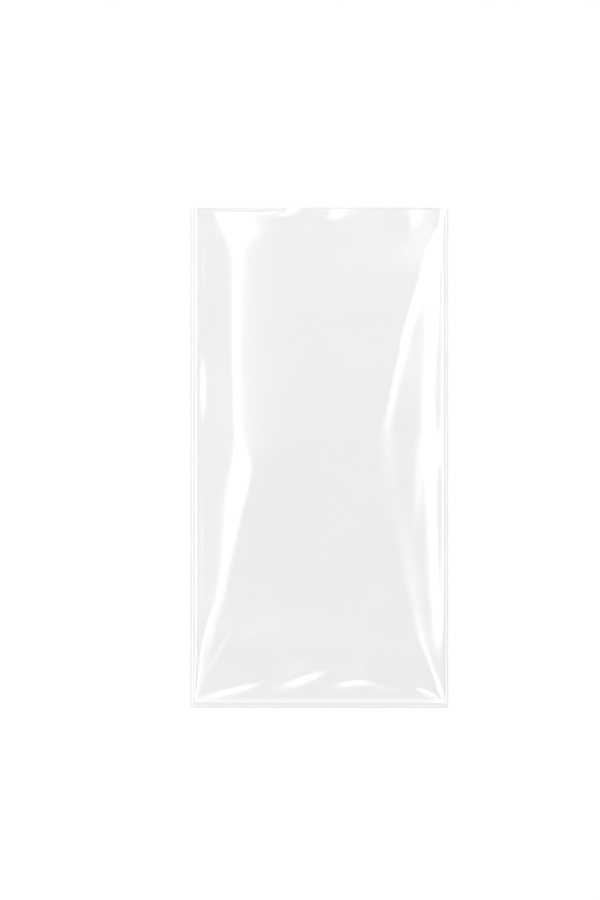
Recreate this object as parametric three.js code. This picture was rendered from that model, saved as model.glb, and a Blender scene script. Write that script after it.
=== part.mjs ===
// Clear cellophane bag, flat and empty, lying on its back with its mouth a little open.
//
// Millimetres, +Z up. The bag is 130 wide along X and 252 long along Y, with the mouth at +Y.
// The origin is under its middle, on the surface it lies on. Two sheets of film are welded
// together down both long sides and across the foot. The back sheet lies flat. The front sheet
// stands off it in stiff panels that meet along folds, so the pocket between them is open.

import * as THREE from "three";

// Outline and welds
const bagWidth = 130;
const bagLength = 252;
const sideWeld = 2.7;
const footWeld = 2.6;
const wall = 0.6; // wall of each sheet: a stand-in for real film of 0.03

// The front sheet's folds run the length of the bag. Each list gives X at a few distances along
// Y, from the foot to the mouth: [y, x]. From left to right there are the top of the left flank,
// the left ridge, the right ridge, the foot of its strip, and two folds beside the right weld.
const leftFold = [[-124, -62.1], [-112, -61.7], [-102, -60.3], [-92, -59], [-84, -56.9], [-79, -55],
  [-74, -52.7], [-69, -51.2], [-61, -49.8], [-51, -49], [-41, -48], [-21, -46.4], [-11, -45.1],
  [0, -43.2], [11, -41.9], [29, -42.2], [58, -43.6], [90, -43.8], [98, -43.4], [104, -43.8],
  [107, -44.8], [110, -45.8], [113, -46.6], [116, -47.4], [119, -48.8], [122, -50.8], [126, -52.8]];
const leftRidge = [[-124, -61.9], [-112, -60.9], [-102, -59.4], [-92, -58.4], [-84, -56.3], [-74, -52],
  [-61, -48.7], [-51, -45.8], [-41, -43.3], [-31, -40.6], [-21, -37.8], [-11, -35.2], [-4, -34.2],
  [4, -37], [11, -39.6], [29, -40.8], [58, -41.2], [87, -40.4], [102, -39.8], [106, -38.7],
  [110, -36.7], [113, -34.6], [117, -32.9], [121, -32.6], [126, -33]];
const rightRidge = [[-124, 61.4], [-112, 57.9], [-102, 54.2], [-92, 49.8], [-72, 44.8], [-62, 42.2],
  [-42, 38], [-21, 33.6], [-5, 31.4], [5, 31], [14, 31.3], [24, 34], [34, 35.8], [44, 38.1],
  [54, 40.3], [62, 41.7], [72, 44.6], [82, 47.4], [92, 50.6], [102, 53.1], [107, 55], [112, 57.9],
  [117, 59.9], [123, 61], [126, 61.3]];
const rightFold = [[-124, 61.7], [-112, 59.7], [-102, 56.3], [-92, 53.6], [-72, 51.2], [-42, 46],
  [-21, 42.4], [-5, 39.4], [5, 37], [14, 36], [24, 36.8], [34, 38.8], [44, 41], [54, 43.6], [62, 45.2],
  [72, 48], [78, 50.2], [84, 52.8], [88, 55.2], [94, 58.6], [102, 60.2], [126, 61.6]];
const prongFold = [[-124, 61.9], [-112, 61], [-102, 59], [-92, 58.2], [-72, 57], [-52, 56],
  [-21, 54.8], [-5, 54], [4, 52.6], [14, 53], [34, 54], [54, 55], [76, 56], [88, 57.6], [102, 60.4],
  [126, 61.8]];
const flankFold = [[-124, 62.1], [-112, 61.4], [-102, 60.5], [-92, 60.1], [-72, 60], [-52, 59.2],
  [-21, 59], [-5, 59.6], [5, 60.8], [12, 57.9], [24, 57.8], [34, 57.6], [44, 57.9], [54, 58.8],
  [62, 59.5], [72, 60.2], [102, 61.2], [126, 62]];

// Height of the film above the back sheet at the two ridges: [y, height]
const leftHeight = [[-124, 0.65], [-118, 0.85], [-112, 1.15], [-102, 1.8], [-92, 2.5], [-80, 4],
  [-70, 5.1], [-60, 6], [-41, 7.5], [-21, 9.05], [-6, 10.3], [10, 10.8], [60, 10.8], [110, 10.8],
  [118, 10.4], [126, 10.2]];
const rightHeight = [[-124, 0.7], [-118, 0.75], [-115, 0.9], [-112, 0.95], [-108, 1.05], [-100, 1.52],
  [-92, 2.35], [-80, 3.4], [-70, 4.1], [-60, 4.7], [-41, 5.5], [-10, 6.6], [14, 7.05], [34, 6.88],
  [44, 6.58], [62, 5.76], [82, 4.98], [92, 4.35], [97, 3.85], [102, 3.2], [107, 2.4], [112, 1.65],
  [117, 1.1], [123, 0.75], [126, 0.65]];

// Slopes of the narrow strips between the folds, as rise over run towards +X: [y, slope]
const leftStripSlope = [[-124, 0.3], [-60, 0.31], [-21, 0.28], [-4, 0.265], [10, 0.29], [30, 0.32],
  [100, 0.31], [104, 0.29], [108, 0.262], [112, 0.225], [116, 0.203], [119, 0.203], [122, 0.213],
  [126, 0.23]];
const leftEaseSlope = [[-124, 0.05], [-112, 0.1], [-100, 0.11], [-90, 0.125], [-75, 0.137],
  [-60, 0.13], [-45, 0.125], [-30, 0.09], [-5, 0.04], [6, 0.13], [18, 0.135], [70, 0.135], [95, 0.14],
  [126, 0.14]];
const rightStripSlope = [[-124, -0.33], [-105, -0.29], [-92, -0.225], [-80, -0.205], [-60, -0.19],
  [-30, -0.185], [0, -0.195], [14, -0.235], [24, -0.29], [34, -0.3], [62, -0.33], [126, -0.36]];
const prongSlope = [[-124, -0.1], [-108, -0.15], [-100, -0.21], [-92, -0.29], [-75, -0.36], [0, -0.38],
  [24, -0.44], [50, -0.44], [70, -0.4], [126, -0.38]];
const rightFlankSlope = [[-124, -0.12], [-108, -0.15], [-100, -0.15], [-92, -0.25], [-80, -0.5],
  [-60, -0.55], [-20, -0.575], [-5, -0.55], [4, -0.42], [14, -0.49], [24, -0.51], [45, -0.52],
  [60, -0.53], [80, -0.57], [92, -0.62], [126, -0.6]];

// Beyond the left ridge the film eases into the middle panel over this width: [y, width]
const leftEaseWidth = [[-124, 1], [-110, 2.5], [-95, 5.3], [-75, 4.2], [-60, 3.5], [-40, 2.5], [-5, 3],
  [6, 9], [20, 15], [95, 14], [126, 10]];

const leastGap = 0.1; // between two folds that meet

// How softly the film turns at the welds and at each fold
const weldRound = 0.38;
const leftFoldRound = 1.2;
const leftRidgeRound = 0.8;
const leftEaseRound = [[-124, 0.4], [-95, 0.8], [-60, 0.8], [-30, 0.9], [-5, 1.5], [6, 3.5], [20, 5],
  [95, 5], [126, 4]];
const rightRidgeRound = 1.2;
const rightFoldRound = 1.4;
const prongRound = 1.5;
const flankRound = 0.8;

// Creases pressed into the film where it gathers at the foot and at the mouth: middle X and Y,
// turn in degrees, half length, half width on the right and on the left of it, height
const footCreases = [[-43.5, -115.4, 14.8, 12, 2, 6, 0.7], [-26, -110.2, 18, 7, 2.4, 5, 0.11],
  [-8.6, -109.5, 23, 10.5, 2.8, 7, 1], [6, -103.6, 30, 7, 2.6, 5, 0.1],
  [14.5, -112, 10, 6, 2.3, 6, 0.64], [22, -111.4, -10, 6, 2.2, 6, 0.52],
  [34, -114.2, -18, 9, 2.2, 4, 0.19], [54.4, -116.7, -25, 6.5, 1.7, 3, 0.46],
  [-47.3, -95, 59, 19, 7, 1.8, 0.36]];
const mouthCreases = [[-17.5, 126, 17, 6.5, 3.2, 4, 1.35], [4, 124.4, -8, 6.4, 4.5, 4, 1.5],
  [45, 121.6, 73, 7, 4.6, 10, 1], [40.4, 108.5, 60, 9, 5.4, 10, 0.25],
  [52.5, 117, 63, 11, 3.5, 5, 0.18]];

// The pocket rises from the foot weld over this distance
const footRise = 3.2;

// It is never lower than this, except right beside the welds
const leastHeight = 0.2;
const besideSideWeld = 0.5;
const besideFootWeld = 1.5;

// The front lip is pulled back from the mouth a little, over its left half
const lipPull = 1.8;
const lipPullMiddle = -33;
const lipPullReach = 24;
const lipPullDepth = 24;
const lipPullRise = 10;

// Number of strips across each panel, from edge to edge, and the least width of a panel
const stripsAcross = [1, 4, 2, 2, 13, 3, 4, 3, 2, 1];
const leastPanel = 0.6;

// Rows from the foot to the mouth: [y, number of rows up to it]. They lie closer where the film gathers.
const rowsAlong = [[-104, 9], [108, 36], [126, 7]];

const filmColour = 0xeef3f1;
const filmRoughness = 0.06;
const filmOpacity = 0.25;

const halfWidth = bagWidth / 2;
const halfLength = bagLength / 2;
const weldX = halfWidth - sideWeld;
const weldY = -halfLength + footWeld;

// Value of a list at a distance along Y, on a smooth curve through its points.
function along(stations, y) {
  const last = stations.length - 1;
  const at = Math.min(Math.max(y, stations[0][0]), stations[last][0]);
  let i = 0;
  while (i < last - 1 && at > stations[i + 1][0]) {
    i += 1;
  }
  const tangent = (k) => {
    const [before, after] = [stations[Math.max(k - 1, 0)], stations[Math.min(k + 1, last)]];
    return (after[1] - before[1]) / (after[0] - before[0]);
  };
  const [y0, v0] = stations[i];
  const [y1, v1] = stations[i + 1];
  const span = y1 - y0;
  const t = (at - y0) / span;
  const rise = v0 + t * t * (3 - 2 * t) * (v1 - v0);
  return rise + span * t * (1 - t) * ((1 - t) * tangent(i) - t * tangent(i + 1));
}

function smoothStep(from, to, value) {
  return THREE.MathUtils.smoothstep(value, from, to);
}

// Zero before a fold and rising with slope 1 after it, rounded at the fold.
function hinge(distance, round) {
  const t = distance / round;
  return round * (Math.max(t, 0) + Math.log1p(Math.exp(-Math.abs(t))));
}

function crease(x, y, [middleX, middleY, turn, halfLong, rightWide, leftWide, height]) {
  const angle = THREE.MathUtils.degToRad(turn);
  const lengthwise = (x - middleX) * Math.cos(angle) + (y - middleY) * Math.sin(angle);
  const across = (y - middleY) * Math.cos(angle) - (x - middleX) * Math.sin(angle);
  const wide = across < 0 ? rightWide : leftWide;
  return height * Math.exp(-((lengthwise / halfLong) ** 2) - (across / wide) ** 2);
}

// X of the seven folds from left to right, never crossing each other.
function foldLines(y) {
  const folds = [along(leftFold, y)];
  folds.push(Math.max(along(leftRidge, y), folds[0] + leastGap));
  folds.push(folds[1] + along(leftEaseWidth, y));
  folds.push(along(rightRidge, y));
  for (const fold of [rightFold, prongFold, flankFold]) {
    folds.push(Math.max(along(fold, y), folds[folds.length - 1] + leastGap));
  }
  return folds;
}

// Height of the flat panels at the two welds and at the folds between them.
function foldHeights(folds, y) {
  const easeTop = along(leftHeight, y);
  const ridgeTop = easeTop - along(leftEaseSlope, y) * (folds[2] - folds[1]);
  const foldTop = ridgeTop - along(leftStripSlope, y) * (folds[1] - folds[0]);
  const rightTop = along(rightHeight, y);
  const rightFoldTop = rightTop + along(rightStripSlope, y) * (folds[4] - folds[3]);
  const flankTop = -along(rightFlankSlope, y) * (weldX - folds[6]);
  const prongTop = Math.min(flankTop - along(prongSlope, y) * (folds[6] - folds[5]), rightFoldTop);
  return [0, foldTop, ridgeTop, easeTop, rightTop, rightFoldTop, prongTop, flankTop, 0];
}

// Rounding of the turns at the left weld, at the seven folds and at the right weld.
function turnRounds(y) {
  return [weldRound, leftFoldRound, leftRidgeRound, along(leftEaseRound, y), rightRidgeRound,
    rightFoldRound, prongRound, flankRound, weldRound];
}

// Height of the pocket between the sheets. It is zero along the welds.
function pocketHeight(x, y) {
  const folds = foldLines(y);
  const lines = [-weldX, ...folds, weldX];
  const tops = foldHeights(folds, y);
  const rounds = turnRounds(y);
  let height = 0;
  let slopeBefore = 0;
  lines.forEach((line, k) => {
    const isLast = k === lines.length - 1;
    const slope = isLast ? 0 : (tops[k + 1] - tops[k]) / (lines[k + 1] - line);
    height += (slope - slopeBefore) * hinge(x - line, rounds[k]);
    slopeBefore = slope;
  });
  height *= 1 - Math.exp(-Math.max(y - weldY, 0) / footRise);
  for (const shape of [...footCreases, ...mouthCreases]) {
    height += crease(x, y, shape);
  }
  const fromSides = smoothStep(0, besideSideWeld, weldX - Math.abs(x));
  const fromFoot = smoothStep(0, besideFootWeld, y - weldY);
  return Math.max(height, leastHeight) * fromSides * fromFoot;
}

// The front sheet's rows bend back towards the foot near the mouth.
function lipY(x, y) {
  const fromSides = smoothStep(0, lipPullRise, weldX - Math.abs(x));
  const across = Math.exp(-(((x - lipPullMiddle) / lipPullReach) ** 2)) * fromSides;
  return y - lipPull * across * smoothStep(halfLength - lipPullDepth, halfLength, y);
}

// X of every strip line at one row. The lines follow the folds, so that no facet crosses one.
function stripLines(y) {
  const turns = [-halfWidth, -weldX, ...foldLines(y), weldX, halfWidth];
  const last = turns.length - 1;
  for (let k = 2; k < last - 1; k += 1) {
    turns[k] = Math.max(turns[k], turns[k - 1] + leastPanel);
  }
  for (let k = last - 2; k > 1; k -= 1) {
    turns[k] = Math.min(turns[k], turns[k + 1] - leastPanel);
  }
  const lines = [turns[0]];
  stripsAcross.forEach((count, panel) => {
    for (let k = 1; k <= count; k += 1) {
      lines.push(THREE.MathUtils.lerp(turns[panel], turns[panel + 1], k / count));
    }
  });
  return lines;
}

function rowLines() {
  const lines = [-halfLength, weldY];
  for (const [end, count] of rowsAlong) {
    const start = lines[lines.length - 1];
    for (let k = 1; k <= count; k += 1) {
      lines.push(THREE.MathUtils.lerp(start, end, k / count));
    }
  }
  return lines;
}

// Collects points and triangles of one closed surface.
class Surface {
  constructor() {
    this.points = [];
    this.faces = [];
  }

  point(x, y, z) {
    this.points.push(x, y, z);
    return this.points.length / 3 - 1;
  }

  // Corners run anticlockwise seen from outside.
  quad(a, b, c, d) {
    this.faces.push(a, b, c, a, c, d);
  }

  fan(centre, rim) {
    for (let k = 0; k + 1 < rim.length; k += 1) {
      this.faces.push(centre, rim[k], rim[k + 1]);
    }
  }

  geometry() {
    const geometry = new THREE.BufferGeometry();
    geometry.setAttribute("position", new THREE.Float32BufferAttribute(this.points, 3));
    geometry.setIndex(this.faces);
    geometry.computeVertexNormals();
    return geometry;
  }
}

// A grid of point numbers, one row for each row line.
function sheetPoints(surface, rows, place) {
  return rows.map((y) => stripLines(y).map((x) => surface.point(...place(x, y))));
}

function coverSheet(surface, grid, facesUp) {
  for (let j = 0; j + 1 < grid.length; j += 1) {
    for (let i = 0; i + 1 < grid[j].length; i += 1) {
      const [a, b, c, d] = [grid[j][i], grid[j][i + 1], grid[j + 1][i + 1], grid[j + 1][i]];
      if (facesUp) {
        surface.quad(a, b, c, d);
      } else {
        surface.quad(d, c, b, a);
      }
    }
  }
}

// A flat sheet needs only the points of its rim: rungs across it, and a fan at each end.
function coverFlat(surface, footRim, leftRim, rightRim, mouthRim, facesUp) {
  const first = surface.faces.length;
  const last = leftRim.length - 1;
  for (let j = 1; j + 1 < last; j += 1) {
    surface.quad(leftRim[j], rightRim[j], rightRim[j + 1], leftRim[j + 1]);
  }
  const half = Math.floor(footRim.length / 2);
  surface.fan(leftRim[1], footRim.slice(0, half + 1));
  surface.fan(rightRim[1], footRim.slice(half));
  surface.faces.push(leftRim[1], footRim[half], rightRim[1]);
  const mouthBack = [...mouthRim].reverse();
  surface.fan(rightRim[last - 1], mouthBack.slice(0, half + 1));
  surface.fan(leftRim[last - 1], mouthBack.slice(half));
  surface.faces.push(rightRim[last - 1], mouthBack[half], leftRim[last - 1]);
  if (!facesUp) {
    for (let k = first; k < surface.faces.length; k += 3) {
      [surface.faces[k], surface.faces[k + 1]] = [surface.faces[k + 1], surface.faces[k]];
    }
  }
}

// A wall between two lines of points, seen from outside with the upper line on top.
function coverEdge(surface, lower, upper) {
  for (let k = 0; k + 1 < lower.length; k += 1) {
    surface.quad(lower[k], lower[k + 1], upper[k + 1], upper[k]);
  }
}

function bagGeometry() {
  const surface = new Surface();
  const rows = rowLines();
  const lastRow = rows.length - 1;
  const across = stripLines(0).length - 1;

  // outside of the front sheet
  const front = sheetPoints(surface, rows, (x, y) => [x, lipY(x, y), 2 * wall + pocketHeight(x, y)]);
  coverSheet(surface, front, true);

  // outside of the back sheet, which the bag lies on
  const rim = (z) => ({
    foot: stripLines(rows[0]).map((x) => surface.point(x, rows[0], z)),
    mouth: stripLines(rows[lastRow]).map((x) => surface.point(x, rows[lastRow], z)),
  });
  const back = rim(0);
  const side = (x, ends) => rows.map((y, j) => {
    if (j === 0) {
      return ends[0];
    }
    return j === lastRow ? ends[1] : surface.point(x, y, 0);
  });
  const backLeft = side(-halfWidth, [back.foot[0], back.mouth[0]]);
  const backRight = side(halfWidth, [back.foot[across], back.mouth[across]]);
  coverFlat(surface, back.foot, backLeft, backRight, back.mouth, false);

  // outer edges of the welds
  coverEdge(surface, back.foot, front[0]);
  coverEdge(surface, backRight, front.map((line) => line[across]));
  coverEdge(surface, [...backLeft].reverse(), front.map((line) => line[0]).reverse());

  // pocket: the front sheet's inside, meeting the back sheet's inside along the weld line
  const inRows = rows.slice(1);
  const roof = inRows.map((y) => stripLines(y).slice(1, -1).map((x) => (
    surface.point(x, lipY(x, y), wall + pocketHeight(x, y)))));
  coverSheet(surface, roof, false);
  const lastIn = inRows.length - 1;
  const mouthLine = stripLines(halfLength).slice(1, -1);
  const floorMouth = mouthLine.map((x, i) => {
    const atWeld = i === 0 || i === mouthLine.length - 1;
    return atWeld ? roof[lastIn][i] : surface.point(x, halfLength, wall);
  });
  const roofLeft = roof.map((line) => line[0]);
  const roofRight = roof.map((line) => line[line.length - 1]);
  coverFlat(surface, roof[0], roofLeft, roofRight, floorMouth, true);

  // mouth: the cut ends of both sheets, and of the side welds
  const frontLip = front[lastRow];
  coverEdge(surface, [...roof[lastIn]].reverse(), frontLip.slice(1, -1).reverse());
  coverEdge(surface, back.mouth.slice(1, -1).reverse(), [...floorMouth].reverse());
  surface.fan(roof[lastIn][0], [back.mouth[1], back.mouth[0], frontLip[0], frontLip[1]]);
  surface.fan(roof[lastIn][mouthLine.length - 1], [frontLip[across - 1], frontLip[across],
    back.mouth[across], back.mouth[across - 1]]);
  return surface.geometry();
}

function cellophane() {
  return new THREE.MeshStandardMaterial({
    color: filmColour,
    roughness: filmRoughness,
    metalness: 0,
    transparent: true,
    opacity: filmOpacity,
  });
}

const bag = new THREE.Mesh(bagGeometry(), cellophane());
bag.name = "bag";

const cellophaneBag = new THREE.Group();
cellophaneBag.add(bag);

export default cellophaneBag;
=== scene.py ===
import math

import bpy
import numpy as np
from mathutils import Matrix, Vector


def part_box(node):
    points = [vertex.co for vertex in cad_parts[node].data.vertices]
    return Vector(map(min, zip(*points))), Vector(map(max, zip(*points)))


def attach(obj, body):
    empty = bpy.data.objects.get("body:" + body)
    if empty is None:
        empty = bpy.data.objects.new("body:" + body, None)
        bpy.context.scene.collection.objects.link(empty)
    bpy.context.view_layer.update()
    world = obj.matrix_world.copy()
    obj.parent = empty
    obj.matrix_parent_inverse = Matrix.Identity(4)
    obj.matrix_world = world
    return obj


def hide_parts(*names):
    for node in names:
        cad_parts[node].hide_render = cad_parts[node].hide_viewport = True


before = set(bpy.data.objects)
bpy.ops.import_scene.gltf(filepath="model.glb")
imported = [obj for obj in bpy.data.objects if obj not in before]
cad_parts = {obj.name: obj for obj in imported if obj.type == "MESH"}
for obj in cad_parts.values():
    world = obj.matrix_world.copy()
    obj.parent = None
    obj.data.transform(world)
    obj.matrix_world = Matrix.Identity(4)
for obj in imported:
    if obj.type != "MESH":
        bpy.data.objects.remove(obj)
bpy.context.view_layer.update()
mm = 0.001
bagLow, bagHigh = [np.array(corner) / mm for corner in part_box("bag")]
halfWidth = (bagHigh[0] - bagLow[0]) / 2
halfLength = (bagHigh[1] - bagLow[1]) / 2
print("frame loaded, bag", [round(float(v), 2) for v in bagHigh - bagLow], "mm")


# small helpers
def linearColour(hexCode):
    values = [int(hexCode[i:i + 2], 16) / 255 for i in (1, 3, 5)]
    return [v / 12.92 if v <= 0.04045 else ((v + 0.055) / 1.055) ** 2.4 for v in values] + [1.0]


def addNode(tree, kind, settings=None, links=None):
    # settings: attribute or input name -> value; links: input name -> (node, output name)
    node = tree.nodes.new(kind)
    for key, value in (settings or {}).items():
        if isinstance(key, str) and hasattr(node, key):
            setattr(node, key, value)
        else:
            node.inputs[key].default_value = value
    for key, (source, output) in (links or {}).items():
        tree.links.new(source.outputs[output], node.inputs[key])
    return node


def smoothStep(low, high, value):
    t = np.clip((value - low) / (high - low), 0, 1)
    return t * t * (3 - 2 * t)


def along(stations, y):
    # value of a list of (y, value) at y, on a smooth curve through its points
    at = np.array([s[0] for s in stations], float)
    value = np.array([s[1] for s in stations], float)
    before = np.r_[0, 0:len(at) - 1]
    after = np.r_[1:len(at), len(at) - 1]
    tangent = (value[after] - value[before]) / (at[after] - at[before])
    q = np.clip(y, at[0], at[-1])
    i = np.clip(np.searchsorted(at, q) - 1, 0, len(at) - 2)
    span = at[i + 1] - at[i]
    t = (q - at[i]) / span
    rise = value[i] + t * t * (3 - 2 * t) * (value[i + 1] - value[i])
    return rise + span * t * (1 - t) * ((1 - t) * tangent[i] - t * tangent[i + 1])


# the film's folds, the same ones that the solid has: each list holds (y, value) stations
film = {
    "sideWeld": 2.7,
    "footWeld": 2.6,
    # where each fold line runs across the bag
    "leftFold": [(-124, -62.1), (-112, -61.7), (-102, -60.3), (-92, -59), (-84, -56.9), (-79, -55),
                 (-74, -52.7), (-69, -51.2), (-61, -49.8), (-51, -49), (-41, -48), (-21, -46.4),
                 (-11, -45.1), (0, -43.2), (11, -41.9), (29, -42.2), (58, -43.6), (90, -43.8),
                 (98, -43.4), (104, -43.8), (107, -44.8), (110, -45.8), (113, -46.6), (116, -47.4),
                 (119, -48.8), (122, -50.8), (126, -52.8)],
    "leftRidge": [(-124, -61.9), (-112, -60.9), (-102, -59.4), (-92, -58.4), (-84, -56.3), (-74, -52),
                  (-61, -48.7), (-51, -45.8), (-41, -43.3), (-31, -40.6), (-21, -37.8), (-11, -35.2),
                  (-4, -34.2), (4, -37), (11, -39.6), (29, -40.8), (58, -41.2), (87, -40.4),
                  (102, -39.8), (106, -38.7), (110, -36.7), (113, -34.6), (117, -32.9), (121, -32.6),
                  (126, -33)],
    "rightRidge": [(-124, 61.4), (-112, 57.9), (-102, 54.2), (-92, 49.8), (-72, 44.8), (-62, 42.2),
                   (-42, 38), (-21, 33.6), (-5, 31.4), (5, 31), (14, 31.3), (24, 34), (34, 35.8),
                   (44, 38.1), (54, 40.3), (62, 41.7), (72, 44.6), (82, 47.4), (92, 50.6), (102, 53.1),
                   (107, 55), (112, 57.9), (117, 59.9), (123, 61), (126, 61.3)],
    "rightFold": [(-124, 61.7), (-112, 59.7), (-102, 56.3), (-92, 53.6), (-72, 51.2), (-42, 46),
                  (-21, 42.4), (-5, 39.4), (5, 37), (14, 36), (24, 36.8), (34, 38.8), (44, 41),
                  (54, 43.6), (62, 45.2), (72, 48), (78, 50.2), (84, 52.8), (88, 55.2), (94, 58.6),
                  (102, 60.2), (126, 61.6)],
    "prongFold": [(-124, 61.9), (-112, 61), (-102, 59), (-92, 58.2), (-72, 57), (-52, 56), (-21, 54.8),
                  (-5, 54), (4, 52.6), (14, 53), (34, 54), (54, 55), (76, 56), (88, 57.6), (102, 60.4),
                  (126, 61.8)],
    "flankFold": [(-124, 62.1), (-112, 61.4), (-102, 60.5), (-92, 60.1), (-72, 60), (-52, 59.2),
                  (-21, 59), (-5, 59.6), (5, 60.8), (12, 57.9), (24, 57.8), (34, 57.6), (44, 57.9),
                  (54, 58.8), (62, 59.5), (72, 60.2), (102, 61.2), (126, 62)],
    # how high the film stands above its back at the two ridges
    "leftHeight": [(-124, 0.65), (-118, 0.85), (-112, 1.15), (-102, 1.8), (-92, 2.5), (-80, 4),
                   (-70, 5.1), (-60, 6), (-41, 7.5), (-21, 9.05), (-6, 10.3), (10, 10.8), (60, 10.8),
                   (110, 10.8), (118, 10.4), (126, 10.2)],
    "rightHeight": [(-124, 0.7), (-118, 0.75), (-115, 0.9), (-112, 0.95), (-108, 1.05), (-100, 1.52),
                    (-92, 2.35), (-80, 3.4), (-70, 4.1), (-60, 4.7), (-41, 5.5), (-10, 6.6), (14, 7.05),
                    (34, 6.88), (44, 6.58), (62, 5.76), (82, 4.98), (92, 4.35), (97, 3.85), (102, 3.2),
                    (107, 2.4), (112, 1.65), (117, 1.1), (123, 0.75), (126, 0.65)],
    # how steep the strips between the folds are
    "leftStripSlope": [(-124, 0.3), (-60, 0.31), (-21, 0.28), (-4, 0.265), (10, 0.29), (30, 0.32),
                       (100, 0.31), (104, 0.29), (108, 0.262), (112, 0.225), (116, 0.203), (119, 0.203),
                       (122, 0.213), (126, 0.23)],
    "leftEaseSlope": [(-124, 0.05), (-112, 0.1), (-100, 0.11), (-90, 0.125), (-75, 0.137), (-60, 0.13),
                      (-45, 0.125), (-30, 0.09), (-5, 0.04), (6, 0.13), (18, 0.135), (70, 0.135),
                      (95, 0.14), (126, 0.14)],
    "rightStripSlope": [(-124, -0.33), (-105, -0.29), (-92, -0.225), (-80, -0.205), (-60, -0.19),
                        (-30, -0.185), (0, -0.195), (14, -0.235), (24, -0.29), (34, -0.3), (62, -0.33),
                        (126, -0.36)],
    "prongSlope": [(-124, -0.1), (-108, -0.15), (-100, -0.21), (-92, -0.29), (-75, -0.36), (0, -0.38),
                   (24, -0.44), (50, -0.44), (70, -0.4), (126, -0.38)],
    "rightFlankSlope": [(-124, -0.12), (-108, -0.15), (-100, -0.15), (-92, -0.25), (-80, -0.5),
                        (-60, -0.55), (-20, -0.575), (-5, -0.55), (4, -0.42), (14, -0.49), (24, -0.51),
                        (45, -0.52), (60, -0.53), (80, -0.57), (92, -0.62), (126, -0.6)],
    # how softly the folds turn
    "leftEaseWidth": [(-124, 1), (-110, 2.5), (-95, 5.3), (-75, 4.2), (-60, 3.5), (-40, 2.5), (-5, 3),
                      (6, 9), (20, 15), (95, 14), (126, 10)],
    "leftEaseRound": [(-124, 0.4), (-95, 0.8), (-60, 0.8), (-30, 0.9), (-5, 1.5), (6, 3.5), (20, 5),
                      (95, 5), (126, 4)],
    "leastGap": 0.1,          # between two folds that meet
    "leftFoldRound": [(-124, 0.25), (-90, 0.4), (-75, 1.1), (-50, 1.6), (-20, 2.1), (0, 1.1), (20, 1.1),
                      (60, 1.2), (90, 1.3), (105, 1.7), (126, 1.9)],
    "leftRidgeRound": [(-124, 0.4), (-100, 0.4), (-90, 0.35), (-75, 0.45), (-55, 0.7), (-30, 0.8),
                       (-5, 1), (12, 1), (126, 1)],
    "rightRidgeRound": [(-124, 0.3), (-100, 0.6), (-80, 1.1), (-60, 1.6), (-20, 2), (4, 2), (15, 1.5),
                        (30, 0.9), (60, 0.7), (126, 0.4)],
    "rightFoldRound": [(-124, 0.3), (-100, 0.6), (-80, 1.4), (-60, 2), (-20, 2.2), (4, 2), (20, 1),
                       (126, 0.8)],
    "weldRound": 0.38,
    "prongRound": 1.5,
    "flankRound": 0.8,
    "footRise": 3.2,
    "lipPull": 1.8,
    "lipPullMiddle": -33,
    "lipPullReach": 24,
    "lipPullDepth": 24,
    "lipCurl": 0.4,
    "lipCurlReach": 0.9,
    "lipRise": 10,            # the lip's pull and curl grow over this distance from the side welds
    "filmThickness": 0.1,     # drawn thickness; the real film is 0.03
    "backHeight": 0.12,       # top of the back sheet, which lies on the table
    "frontHeight": 0.3,       # top of the front sheet where the two are welded
    "footRound": 0.2,
    "edgeFade": 0.6,          # creases and welds flatten out this near the bag's edges
    "smoothAngle": 50,        # degrees; sharper turns stay crisp
}
# creases pressed into the film: middle x, middle y, turn in degrees, half length, half width on the
# right and on the left of the crease seen along it, height
creases = {
    "foot": [(-43.5, -115.4, 14.8, 12, 2, 6, 0.7), (-26, -110.2, 18, 7, 2.4, 5, 0.11),
             (-8.6, -109.5, 23, 10.5, 2.8, 7, 1), (6, -103.6, 30, 7, 2.6, 5, 0.1),
             (14.5, -112, 10, 6, 2.3, 6, 0.64), (22, -111.4, -10, 6, 2.2, 6, 0.52),
             (34, -114.2, -18, 9, 2.2, 4, 0.19), (54.4, -116.7, -25, 6.5, 1.7, 3, 0.46)],
    "footCorner": [(-47.3, -95, 59, 19, 7, 1.8, 0.36)],
    "mouth": [(-17.5, 126, 17, 6.5, 3.2, 4, 1.35), (4, 124.4, -8, 6.4, 4.5, 4, 1.5),
              (45, 121.6, 73, 7, 4.6, 10, 1), (40.4, 108.5, 60, 9, 5.4, 10, 0.25),
              (52.5, 117, 63, 11, 3.5, 5, 0.18)],
    "leftWeld": [(-60.3, 36, 90.5, 14, 2, 1, 0.38), (-60, 95, 91, 16, 1.9, 0.8, 0.125),
                 (-60.2, -40, 90, 38, 1.2, 0.8, 0.07)],
    "rightWeld": [(46.6, -15, 87.5, 19, 4, 8, 0.4), (60.7, 104, 90, 20, 0.6, 0.8, 0.08)],
}
# the sealing bar leaves a thin rim, with a low step on its inner side
weldStep = {"fromEdge": 1.0, "halfWidth": 0.3, "height": 0.12}
weldX = halfWidth - film["sideWeld"]
weldY = -halfLength + film["footWeld"]


def hinge(distance, rounding):
    # 0 on the left of the fold, distance on its right, with a rounded turn
    return rounding * np.logaddexp(0, distance / rounding)


def crease(x, y, middleX, middleY, turn, halfLong, rightWide, leftWide, height):
    angle = math.radians(turn)
    lengthwise = (x - middleX) * math.cos(angle) + (y - middleY) * math.sin(angle)
    across = (y - middleY) * math.cos(angle) - (x - middleX) * math.sin(angle)
    wide = np.where(across < 0, rightWide, leftWide)
    return height * np.exp(-(lengthwise / halfLong) ** 2 - (across / wide) ** 2)


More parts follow.
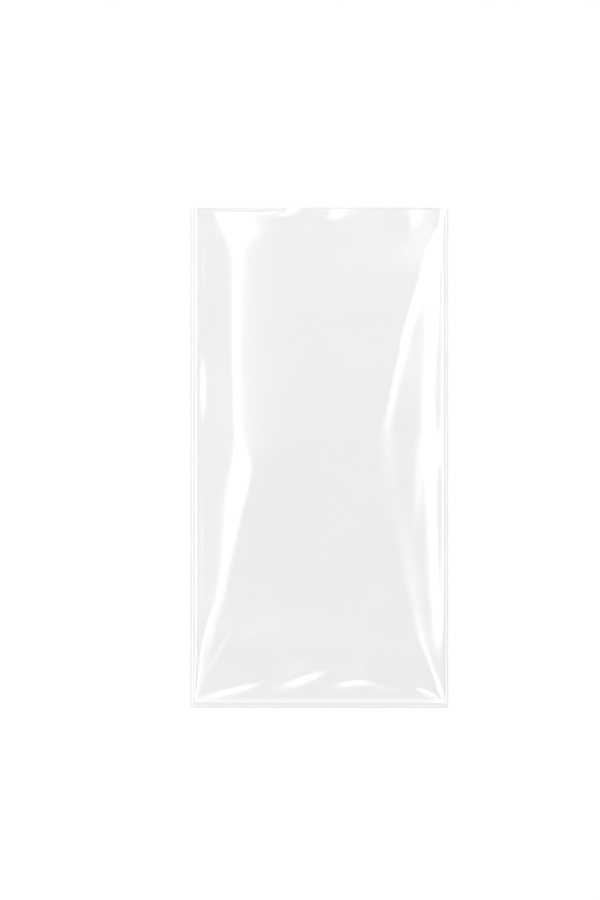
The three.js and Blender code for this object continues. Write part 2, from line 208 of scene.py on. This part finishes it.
def foldLines(y):
    # the seven folds from left to right, never crossing each other
    lines = [along(film["leftFold"], y)]
    lines.append(np.maximum(along(film["leftRidge"], y), lines[0] + film["leastGap"]))
    lines.append(lines[1] + along(film["leftEaseWidth"], y))
    lines.append(along(film["rightRidge"], y))
    for name in ("rightFold", "prongFold", "flankFold"):
        lines.append(np.maximum(along(film[name], y), lines[-1] + film["leastGap"]))
    return lines


def pocketHeight(x, y):
    # flat panels between the folds: their slopes follow from the heights at the folds
    folds = foldLines(y)
    easeTop = along(film["leftHeight"], y)
    ridgeTop = easeTop - along(film["leftEaseSlope"], y) * (folds[2] - folds[1])
    foldTop = ridgeTop - along(film["leftStripSlope"], y) * (folds[1] - folds[0])
    rightTop = along(film["rightHeight"], y)
    rightFoldTop = rightTop + along(film["rightStripSlope"], y) * (folds[4] - folds[3])
    flankTop = -along(film["rightFlankSlope"], y) * (weldX - folds[6])
    prongTop = np.minimum(flankTop - along(film["prongSlope"], y) * (folds[6] - folds[5]), rightFoldTop)
    edge = 0 * y
    lines = [edge - weldX] + folds + [edge + weldX]
    tops = [edge, foldTop, ridgeTop, easeTop, rightTop, rightFoldTop, prongTop, flankTop, edge]
    rounds = [film["weldRound"], along(film["leftFoldRound"], y), along(film["leftRidgeRound"], y),
              along(film["leftEaseRound"], y), along(film["rightRidgeRound"], y),
              along(film["rightFoldRound"], y), film["prongRound"], film["flankRound"], film["weldRound"]]
    slopes = [(tops[k + 1] - tops[k]) / (lines[k + 1] - lines[k]) for k in range(len(lines) - 1)] + [0]
    height, slopeBefore = 0, 0
    for line, slope, rounding in zip(lines, slopes, rounds):
        height = height + (slope - slopeBefore) * hinge(x - line, rounding)
        slopeBefore = slope
    return height * (1 - np.exp(-hinge(y - weldY, film["footRound"]) / film["footRise"]))


def pressedHeight(x, y):
    # what the creases, the rim of the welds and the curl of the lip add
    height = 0
    for group in creases.values():
        for shape in group:
            height = height + crease(x, y, *shape)
    fromEdge = np.minimum(halfWidth - np.abs(x), halfLength + y)
    step = smoothStep(-weldStep["halfWidth"], weldStep["halfWidth"], fromEdge - weldStep["fromEdge"])
    curl = film["lipCurl"] * np.exp(-((halfLength - y) / film["lipCurlReach"]) ** 2)
    curl = curl * smoothStep(0, film["lipRise"], weldX - np.abs(x))
    return (height + weldStep["height"] * step - curl) * smoothStep(0, film["edgeFade"], fromEdge)


def spread(count, crowding):
    # positions from 0 to 1, crowded towards both ends
    t = np.arange(count + 1) / count
    return t - crowding * np.sin(2 * math.pi * t) / (2 * math.pi)


frontGrid = {
    "weldZone": 3.8,
    "leastPanel": 0.4,
    # columns from the left edge to the right one, between the welds and the seven folds, and how
    # crowded they are at the folds
    "columns": [(22, 0.0), (26, 0.6), (12, 0.6), (10, 0.3), (58, 0.8), (12, 0.5), (20, 0.6), (8, 0.5),
                (4, 0.0), (22, 0.0)],
    # y where each stretch of rows starts, and its rows
    "rows": [(-halfLength, 16), (-120.5, 50), (-100, 118), (112, 34), (halfLength, 0)],
}
backGrid = {"columns": 66, "rows": 127}


def gridLines():
    # columns follow the folds, so that each fold has vertices along it
    places = []
    for (start, count), (end, _) in zip(frontGrid["rows"], frontGrid["rows"][1:]):
        places += list(start + (end - start) * np.arange(count) / count)
    y = np.array(places + [halfLength])
    inner = halfWidth - frontGrid["weldZone"]
    turns = [-halfWidth + 0 * y, -inner + 0 * y] + foldLines(y) + [inner + 0 * y, halfWidth + 0 * y]
    foldPlaces = range(2, len(turns) - 2)
    for k in foldPlaces:
        turns[k] = np.maximum(turns[k], turns[k - 1] + frontGrid["leastPanel"])
    for k in reversed(foldPlaces):
        turns[k] = np.minimum(turns[k], turns[k + 1] - frontGrid["leastPanel"])
    blocks = []
    for (count, crowding), left, right in zip(frontGrid["columns"], turns, turns[1:]):
        share = spread(count, crowding)[:-1]
        blocks.append(left[:, None] + (right - left)[:, None] * share[None, :])
    x = np.hstack(blocks + [turns[-1][:, None]])
    return x, np.repeat(y[:, None], x.shape[1], axis=1)


def addGrid(name, x, y, z):
    # a plane grid is added, and its vertices are moved to the film's shape
    rows, columns = x.shape
    bpy.ops.object.select_all(action="DESELECT")
    bpy.ops.mesh.primitive_grid_add(x_subdivisions=columns - 1, y_subdivisions=rows - 1, size=1)
    sheet = bpy.context.object
    sheet.name = name
    points = np.empty(len(sheet.data.vertices) * 3)
    sheet.data.vertices.foreach_get("co", points)
    points = points.reshape(-1, 3)
    column = np.rint((points[:, 0] + 0.5) * (columns - 1)).astype(int)
    row = np.rint((points[:, 1] + 0.5) * (rows - 1)).astype(int)
    placed = np.stack([x[row, column], y[row, column], z[row, column]], axis=1) * mm
    sheet.data.vertices.foreach_set("co", placed.ravel())
    sheet.data.update()
    return sheet


def thicken(sheet):
    # the film's thickness is laid below the sheet
    solidify = sheet.modifiers.new("thickness", "SOLIDIFY")
    solidify.thickness = film["filmThickness"] * mm
    solidify.offset = -1
    bpy.ops.object.select_all(action="DESELECT")
    sheet.select_set(True)
    bpy.context.view_layer.objects.active = sheet
    bpy.ops.object.modifier_apply(modifier="thickness")
    bpy.ops.object.shade_smooth_by_angle(angle=math.radians(film["smoothAngle"]))


def frontSurface(x, y):
    # the front film's height, and its y where the lip is pulled back from the mouth
    z = film["frontHeight"] + pocketHeight(x, y) + pressedHeight(x, y)
    across = np.exp(-((x - film["lipPullMiddle"]) / film["lipPullReach"]) ** 2)
    across = across * smoothStep(0, film["lipRise"], weldX - np.abs(x))
    nearMouth = smoothStep(halfLength - film["lipPullDepth"], halfLength, y)
    return y - film["lipPull"] * across * nearMouth, z


def makeFrontFilm():
    x, y = gridLines()
    pulled, z = frontSurface(x, y)
    sheet = addGrid("frontFilm", x, pulled, z)
    thicken(sheet)
    return sheet


def makeBackFilm():
    x, y = np.meshgrid(np.linspace(-halfWidth, halfWidth, backGrid["columns"]),
                       np.linspace(-halfLength, halfLength, backGrid["rows"]))
    sheet = addGrid("backFilm", x, y, film["backHeight"] + 0 * x)
    thicken(sheet)
    return sheet


def addTube(name, points, radius):
    # a fine round tube along the points, with closed ends
    curve = bpy.data.curves.new(name, "CURVE")
    curve.dimensions = "3D"
    curve.bevel_depth = radius * mm
    curve.bevel_resolution = 1
    curve.use_fill_caps = True
    line = curve.splines.new("POLY")
    line.points.add(len(points) - 1)
    for place, point in zip(points, line.points):
        point.co = [value * mm for value in place] + [1.0]
    tube = bpy.data.objects.new(name, curve)
    bpy.context.scene.collection.objects.link(tube)
    bpy.ops.object.select_all(action="DESELECT")
    tube.select_set(True)
    bpy.context.view_layer.objects.active = tube
    bpy.ops.object.convert(target="MESH")
    return bpy.context.object


edges = {
    "beadRadius": 0.22,
    "beadHeight": 0.3,
    "cornerRadius": 1.2,
    "cornerPoints": 7,
    "cutRadius": 0.18,
    "cutPoints": 90,
    "cutEndGap": 0.2,         # between a cut edge and the side welds
    "tableGap": 0.02,         # under the back cut edge
}


def makeWeldBead():
    # the cut-and-seal bar melts the two films into a fine bead along both sides and the foot; the edge
    # material paints it as a thin dark line of shade
    inset = edges["beadRadius"]
    right, foot, corner = halfWidth - inset, -halfLength + inset, edges["cornerRadius"]
    turn = np.linspace(0, math.pi / 2, edges["cornerPoints"])
    outline = [(-right, halfLength - inset)]
    outline += [(-right + corner * (1 - math.cos(t)), foot + corner * (1 - math.sin(t))) for t in turn]
    outline += [(right - corner * (1 - math.sin(t)), foot + corner * (1 - math.cos(t))) for t in turn]
    outline += [(right, halfLength - inset)]
    points = [(x, y, edges["beadHeight"]) for x, y in outline]
    return addTube("weldBead", points, edges["beadRadius"])


def makeCutEdge(name, onFront):
    # the knife leaves a fine frosted edge on each film at the mouth; the edge material's grey paints it as a
    # thin dark line of shade
    end = weldX - edges["cutEndGap"]
    x = np.linspace(-end, end, edges["cutPoints"])
    y = np.full_like(x, halfLength - edges["cutRadius"])
    z = np.full_like(x, edges["cutRadius"] + edges["tableGap"])
    if onFront:
        y, z = frontSurface(x, y)
    return addTube(name, list(zip(x, y, z)), edges["cutRadius"])


filmSurface = {
    "bagTint": "#fafbfa",      # of the whole bag, seen on a white table
    "facesPassed": 8,          # light goes down through the bag's four faces and back up
    "reflectance": 0.036,      # of one face seen straight on, at index 1.47
    "roughLow": 0.08,
    "roughHigh": 0.17,
    "noiseLow": 0.3,           # the stretch of the noise that is used
    "noiseHigh": 0.7,
    "smudgeSize": 24,
    "lineSpacing": 0.9,
    "lineLength": 55,
    "lineDepth": 0.0006,
    "waveWide": 16,
    "waveLong": 42,
    "waveDepth": 0.022,
}
# painted shade: the edges' grey colour darkens the bead and the cut edges into thin dark lines, in place of
# the light that a rounded edge bends away
edgeSurface = {"shadeTint": "#fefefe", "gloss": 0.035, "roughness": 0.35}


def filmPattern(tree, name, wide, long, detail):
    # noise in object coordinates, cells of wide by long millimetres
    place = addNode(tree, "ShaderNodeTexCoord")
    scale = addNode(tree, "ShaderNodeMapping", {"Scale": (1 / (wide * mm), 1 / (long * mm), 1 / (wide * mm))},
                    {"Vector": (place, "Object")})
    return addNode(tree, "ShaderNodeTexNoise", {"label": name, "Scale": 1.0, "Detail": detail},
                   {"Vector": (scale, "Vector")})


def makeFilmMaterial():
    # regenerated cellulose film, cast and calendered: clear, glassy on both faces, index 1.47
    material = bpy.data.materials.new("celluloseFilmClear")
    material.use_nodes = True
    tree = material.node_tree
    tree.nodes.clear()
    faceTint = [value ** (1 / filmSurface["facesPassed"]) for value in linearColour(filmSurface["bagTint"])]
    smudges = filmPattern(tree, "finger marks", filmSurface["smudgeSize"], filmSurface["smudgeSize"], 4.0)
    rough = addNode(tree, "ShaderNodeMapRange",
                    {"From Min": filmSurface["noiseLow"], "From Max": filmSurface["noiseHigh"],
                     "To Min": filmSurface["roughLow"], "To Max": filmSurface["roughHigh"]},
                    {"Value": (smudges, "Fac")})
    lines = filmPattern(tree, "calender lines", filmSurface["lineSpacing"], filmSurface["lineLength"], 2.0)
    waves = filmPattern(tree, "slack waves", filmSurface["waveWide"], filmSurface["waveLong"], 2.0)
    waveBump = addNode(tree, "ShaderNodeBump", {"Strength": 1.0, "Distance": filmSurface["waveDepth"] * mm},
                       {"Height": (waves, "Fac")})
    lineBump = addNode(tree, "ShaderNodeBump", {"Strength": 1.0, "Distance": filmSurface["lineDepth"] * mm},
                       {"Height": (lines, "Fac"), "Normal": (waveBump, "Normal")})
    clear = addNode(tree, "ShaderNodeBsdfTransparent", {"Color": faceTint})
    gloss = addNode(tree, "ShaderNodeBsdfGlossy", {"Color": linearColour("#ffffff")},
                    {"Roughness": (rough, "Result"), "Normal": (lineBump, "Normal")})
    # the gloss grows towards grazing views, by Schlick's rule
    facing = addNode(tree, "ShaderNodeLayerWeight", {"Blend": 0.5})
    power = addNode(tree, "ShaderNodeMath", {"operation": "POWER", 1: 5.0}, {0: (facing, "Facing")})
    straightOn = filmSurface["reflectance"]
    share = addNode(tree, "ShaderNodeMath", {"operation": "MULTIPLY_ADD", 1: 1 - straightOn, 2: straightOn},
                    {0: (power, 0)})
    mix = addNode(tree, "ShaderNodeMixShader", {}, {0: (share, 0), 1: (clear, "BSDF"), 2: (gloss, "BSDF")})
    addNode(tree, "ShaderNodeOutputMaterial", {}, {"Surface": (mix, "Shader")})
    return material


def makeEdgeMaterial():
    # cellulose film, melted or cut: the same clear film, frosted; its faint grey is painted shade, the thin
    # dark line that a rounded edge shows as it bends light away
    material = bpy.data.materials.new("celluloseEdgeFrostedAndShaded")
    material.use_nodes = True
    tree = material.node_tree
    tree.nodes.clear()
    clear = addNode(tree, "ShaderNodeBsdfTransparent", {"Color": linearColour(edgeSurface["shadeTint"])})
    frosted = addNode(tree, "ShaderNodeBsdfGlossy", {"Color": linearColour("#ffffff"),
                                                    "Roughness": edgeSurface["roughness"]})
    mix = addNode(tree, "ShaderNodeMixShader", {0: edgeSurface["gloss"]},
                  {1: (clear, "BSDF"), 2: (frosted, "BSDF")})
    addNode(tree, "ShaderNodeOutputMaterial", {}, {"Surface": (mix, "Shader")})
    return material


# the lights are placed by the slopes of film that mirror them straight up: a slope of 0.2 shows what is
# 22 degrees from overhead. A light starts at its first slope and is full at the second. Where there are
# four, it starts to fade at the third and is gone at the last.
studio = {
    "floorSize": 6,            # metres
    "floorColour": "#dcdcdc",
    "floorRoughness": 0.9,
    "ceiling": 0.05,
    # turn: how squarely a view faces the panel's side where the panel starts, and where it is full
    "panels": 3.0,
    "leftPanel": {"turn": (0.45, 0.75), "slopes": (0.09, 0.26, 0.335, 0.415)},
    "rightPanel": {"turn": (0.45, 0.75), "slopes": (0.12, 0.28, 0.46, 0.54)},
    "nearPanel": {"turn": (0.7, 0.9), "slopes": (0.12, 0.3, 0.5, 0.6)},
    "walls": 0.42,
    "wallSlopes": (0.3, 0.42),
    "horizon": 0.9,
    "horizonSlopes": (0.7, 1.1),
    # the far half of the ceiling is lighter, past a slanting line
    "farGlow": 0.45,
    "farSlant": 0.4,
    "farEdge": (-0.16, 0.16),
    "farFade": (0.12, 0.3),
    # a soft glow spreads from the left panel
    "sideGlow": 0.75,
    "sideEdge": (-0.2, 0.9),
    "sideFade": (0.25, 0.4),
}


def makeFloor():
    bpy.ops.object.select_all(action="DESELECT")
    bpy.ops.mesh.primitive_plane_add(size=studio["floorSize"])
    floor = bpy.context.object
    floor.name = "floor"
    material = bpy.data.materials.new("paleTable")
    material.use_nodes = True
    shader = material.node_tree.nodes["Principled BSDF"]
    shader.inputs["Base Color"].default_value = linearColour(studio["floorColour"])
    shader.inputs["Roughness"].default_value = studio["floorRoughness"]
    shader.inputs["Specular IOR Level"].default_value = 0.0
    floor.data.materials.append(material)


def makeSky():
    world = bpy.data.worlds.new("studio")
    bpy.context.scene.world = world
    world.use_nodes = True
    tree = world.node_tree
    tree.nodes.clear()
    place = addNode(tree, "ShaderNodeTexCoord")
    axes = addNode(tree, "ShaderNodeSeparateXYZ", {}, {0: (place, "Generated")})

    def maths(operation, *terms):
        settings = {"operation": operation}
        links = {}
        for slot, term in enumerate(terms):
            if isinstance(term, (int, float)):
                settings[slot] = term
            else:
                links[slot] = term
        return (addNode(tree, "ShaderNodeMath", settings, links), 0)

    def product(total, *others):
        for other in others:
            total = maths("MULTIPLY", total, other)
        return total

    def rise(value, low, high):
        node = addNode(tree, "ShaderNodeMapRange", {"interpolation_type": "SMOOTHSTEP", "From Min": low,
                                                   "From Max": high}, {"Value": value})
        return (node, "Result")

    def fade(value, low, high):
        return maths("SUBTRACT", 1.0, rise(value, low, high))

    east, north, up = (axes, "X"), (axes, "Y"), (axes, "Z")
    west, south = product(east, -1.0), product(north, -1.0)
    tilt = maths("ARCCOSINE", maths("MINIMUM", up, 0.9999))      # radians from straight up
    level = maths("SQRT", maths("MAXIMUM", maths("SUBTRACT", 1.0, product(up, up)), 1e-6))

    def tilts(slopes):
        return [2 * math.atan(slope) for slope in slopes]

    def panel(side, settings):
        inStart, inFull, outStart, outEnd = tilts(settings["slopes"])
        facing = rise(maths("DIVIDE", side, level), *settings["turn"])
        return product(facing, rise(tilt, inStart, inFull), fade(tilt, outStart, outEnd), studio["panels"])

    slant = maths("SUBTRACT", north, product(east, studio["farSlant"]))
    sideways = maths("DIVIDE", west, maths("MAXIMUM", up, 0.05))
    lights = [
        panel(west, studio["leftPanel"]),
        panel(east, studio["rightPanel"]),
        panel(south, studio["nearPanel"]),
        product(rise(tilt, *tilts(studio["horizonSlopes"])), studio["horizon"]),
        product(rise(tilt, *tilts(studio["wallSlopes"])), studio["walls"]),
        product(rise(slant, *studio["farEdge"]), fade(tilt, *tilts(studio["farFade"])), studio["farGlow"]),
        product(rise(sideways, *studio["sideEdge"]), fade(tilt, *tilts(studio["sideFade"])),
                studio["sideGlow"]),
    ]
    total = studio["ceiling"]
    for light in lights:
        total = maths("ADD", light, total)
    background = addNode(tree, "ShaderNodeBackground", {"Color": (1, 1, 1, 1)}, {"Strength": total})
    addNode(tree, "ShaderNodeOutputWorld", {}, {"Surface": (background, "Background")})


view = {
    "height": 1600,            # straight above the bag
    "across": -9.75,
    "along": 4,
    "pictureHeight": 453.5,    # at the table
    "sensorSize": 36,
    "clipEnd": 100,            # metres
}


def makeCamera():
    data = bpy.data.cameras.new("camera")
    camera = bpy.data.objects.new("camera", data)
    bpy.context.scene.collection.objects.link(camera)
    data.sensor_width = view["sensorSize"]
    data.lens = view["sensorSize"] * view["height"] / view["pictureHeight"]
    data.clip_end = view["clipEnd"]
    camera.location = (view["across"] * mm, view["along"] * mm, view["height"] * mm)
    bpy.context.scene.camera = camera


bpy.context.scene.view_settings.view_transform = "Standard"
bpy.context.scene.cycles.transparent_max_bounces = 32     # the films and edges are passed twice each way
makeCamera()
makeFloor()
makeSky()
print("studio and camera ready")

filmMaterial = makeFilmMaterial()
edgeMaterial = makeEdgeMaterial()
frontFilm = makeFrontFilm()
backFilm = makeBackFilm()
weldBead = makeWeldBead()
backCutEdge = makeCutEdge("backCutEdge", False)
frontCutEdge = makeCutEdge("frontCutEdge", True)
for piece in (frontFilm, backFilm, weldBead, backCutEdge, frontCutEdge):
    piece.data.materials.append(filmMaterial if piece in (frontFilm, backFilm) else edgeMaterial)
    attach(piece, "root")
    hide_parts("bag")
print("film ready")
